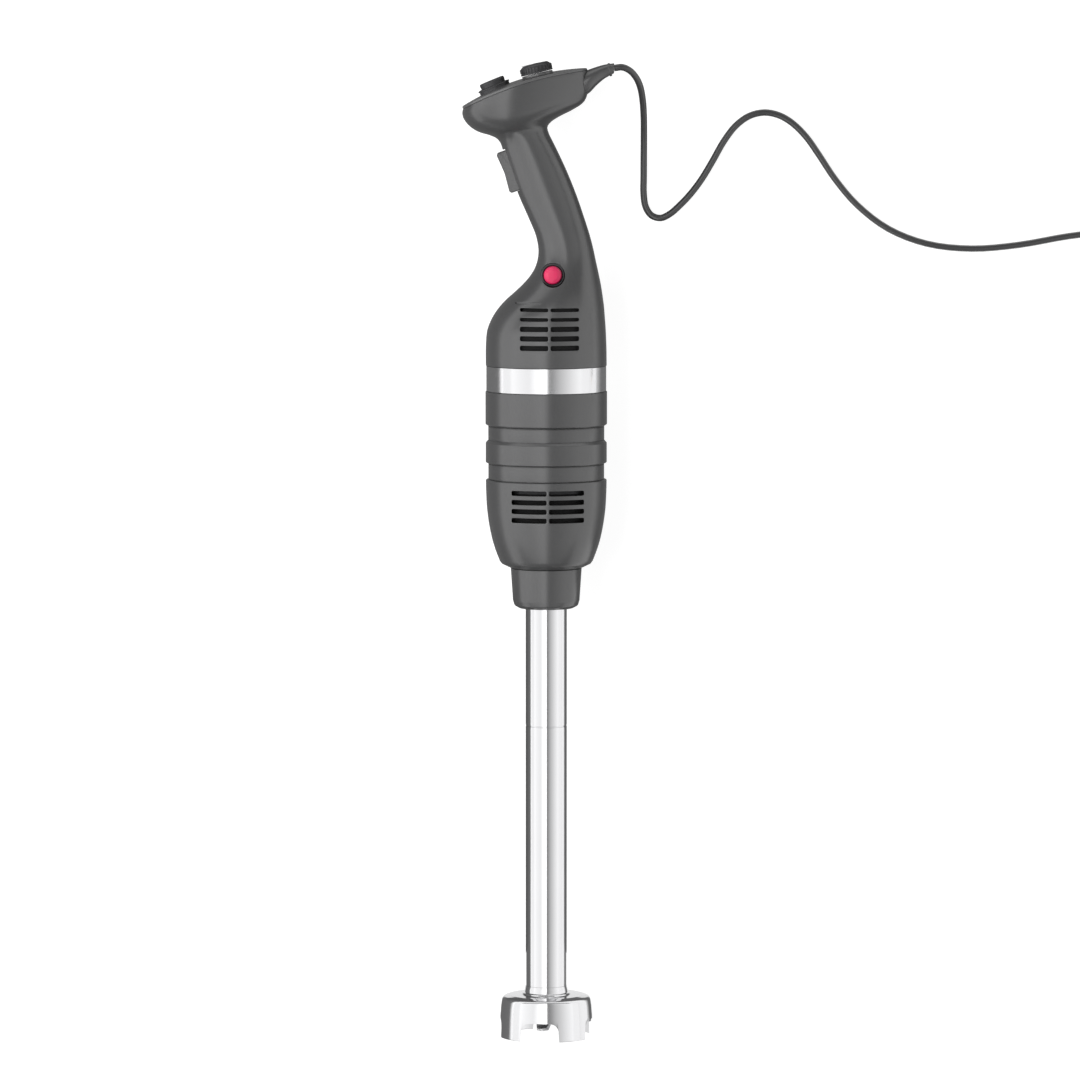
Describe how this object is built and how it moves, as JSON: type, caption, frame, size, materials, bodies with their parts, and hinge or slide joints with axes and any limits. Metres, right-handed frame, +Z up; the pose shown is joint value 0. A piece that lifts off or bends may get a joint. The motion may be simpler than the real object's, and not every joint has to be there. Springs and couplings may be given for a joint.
{
  "type": "immersion blender",
  "caption": "Hand-held immersion blender with a long steel shaft, a guarded blade, a vented motor housing, a slanted grip with a trigger, a speed dial and a mains cord.",
  "frame": {"origin": "on the worktop below the middle of the tool's box, the tool lying on its side", "axes": "+Y along the drive axis from the blade guard to the head, +X to the side that the cord leaves from, +Z up, away from the worktop"},
  "size_m": [0.5997, 0.784, 0.0972],
  "materials": {
    "charcoal_plastic": "fine satin moulded plastic, charcoal grey",
    "deck_plastic": "smooth semi-gloss plastic, mid grey",
    "black_plastic": "fine matt moulded plastic, near black",
    "red_plastic": "glossy red plastic",
    "polished_stainless": "polished stainless steel",
    "plain_steel": "turned and pressed steel",
    "laminated_steel": "stacked electrical steel",
    "copper_wire": "enamelled copper wire and copper segments",
    "bronze": "sintered bronze and brass",
    "carbon": "pressed carbon",
    "circuit_board": "green glass-fibre board",
    "cord_sheath": "satin flexible plastic sheath, dark grey",
    "shaft_rubber": "moulded seal rubber"
  },
  "bodies": {
    "motor_unit": {"handle_shell_near": "charcoal_plastic", "handle_shell_far": "charcoal_plastic", "top_deck": "deck_plastic", "shell_screw_1": "plain_steel", "shell_screw_2": "plain_steel", "shell_screw_3": "plain_steel", "shell_screw_4": "plain_steel", "shell_screw_5": "plain_steel", "motor_housing": "charcoal_plastic", "steel_band": "polished_stainless", "shaft_collar": "charcoal_plastic", "shaft_tube": "polished_stainless", "blade_guard": "polished_stainless", "stator_core": "laminated_steel", "field_coil_left": "copper_wire", "field_coil_right": "copper_wire", "motor_bracket_lower": "plain_steel", "motor_bracket_upper": "plain_steel", "motor_bearing_lower": "plain_steel", "motor_bearing_upper": "plain_steel", "carbon_brush_left": "carbon", "brush_holder_left": "bronze", "carbon_brush_right": "carbon", "brush_holder_right": "bronze", "shaft_seal": "shaft_rubber", "shaft_bush_lower": "bronze", "shaft_bush_upper": "bronze", "control_board": "circuit_board", "wire_loom": "cord_sheath", "trigger_pin": "plain_steel", "trigger_switch": "black_plastic", "trigger_spring": "plain_steel", "speed_potentiometer": "deck_plastic", "button_bezel": "black_plastic", "boost_switch": "black_plastic", "boost_spring": "plain_steel", "lock_bezel": "black_plastic", "lock_spring": "plain_steel", "lock_bracket": "black_plastic", "cord_boot": "cord_sheath", "cord_lead": "cord_sheath", "cord_coil": "cord_sheath", "cord_tail": "cord_sheath", "plug_body": "black_plastic", "plug_pin_a": "bronze", "plug_pin_b": "bronze"},
    "trigger": {"trigger": "black_plastic"},
    "lock_button": {"lock_button": "red_plastic"},
    "boost_button": {"boost_button": "black_plastic"},
    "speed_dial": {"speed_dial": "black_plastic", "dial_spindle": "plain_steel"},
    "rotor": {"motor_shaft": "plain_steel", "armature_core": "laminated_steel", "commutator": "copper_wire", "cooling_fan": "black_plastic", "drive_coupling": "bronze", "drive_shaft": "plain_steel", "blade_hub": "plain_steel", "blade": "polished_stainless", "blade_nut": "plain_steel"}
  },
  "joints": [
    {"name": "trigger_press", "type": "hinge", "parent": "motor_unit", "child": "trigger", "pos_m": [-0.0128, 0.29249, 0.0486], "axis": [0, 0, -1], "range_deg": [0, 6], "stiffness_Nm_per_rad": 0.3, "springref_deg": -11.46, "deforming": ["trigger_spring"]},
    {"name": "lock_button_press", "type": "slide", "parent": "motor_unit", "child": "lock_button", "axis": [0, 0, -1], "range_m": [0, 0.0025], "stiffness_N_per_m": 400, "springref_m": -0.003, "deforming": ["lock_spring"]},
    {"name": "boost_button_press", "type": "slide", "parent": "motor_unit", "child": "boost_button", "axis": [0.3827, -0.9239, 0], "range_m": [0, 0.0025], "stiffness_N_per_m": 400, "springref_m": -0.003, "deforming": ["boost_spring"]},
    {"name": "speed_dial_turn", "type": "hinge", "parent": "motor_unit", "child": "speed_dial", "pos_m": [-0.00076, 0.38123, 0.0486], "axis": [-0.2385, 0.9711, 0], "range_deg": [-135, 135]},
    {"name": "rotor_spin", "type": "hinge", "parent": "motor_unit", "child": "rotor", "pos_m": [0.00644, 0, 0.0486], "axis": [0, 1, 0], "continuous": true}
  ]
}
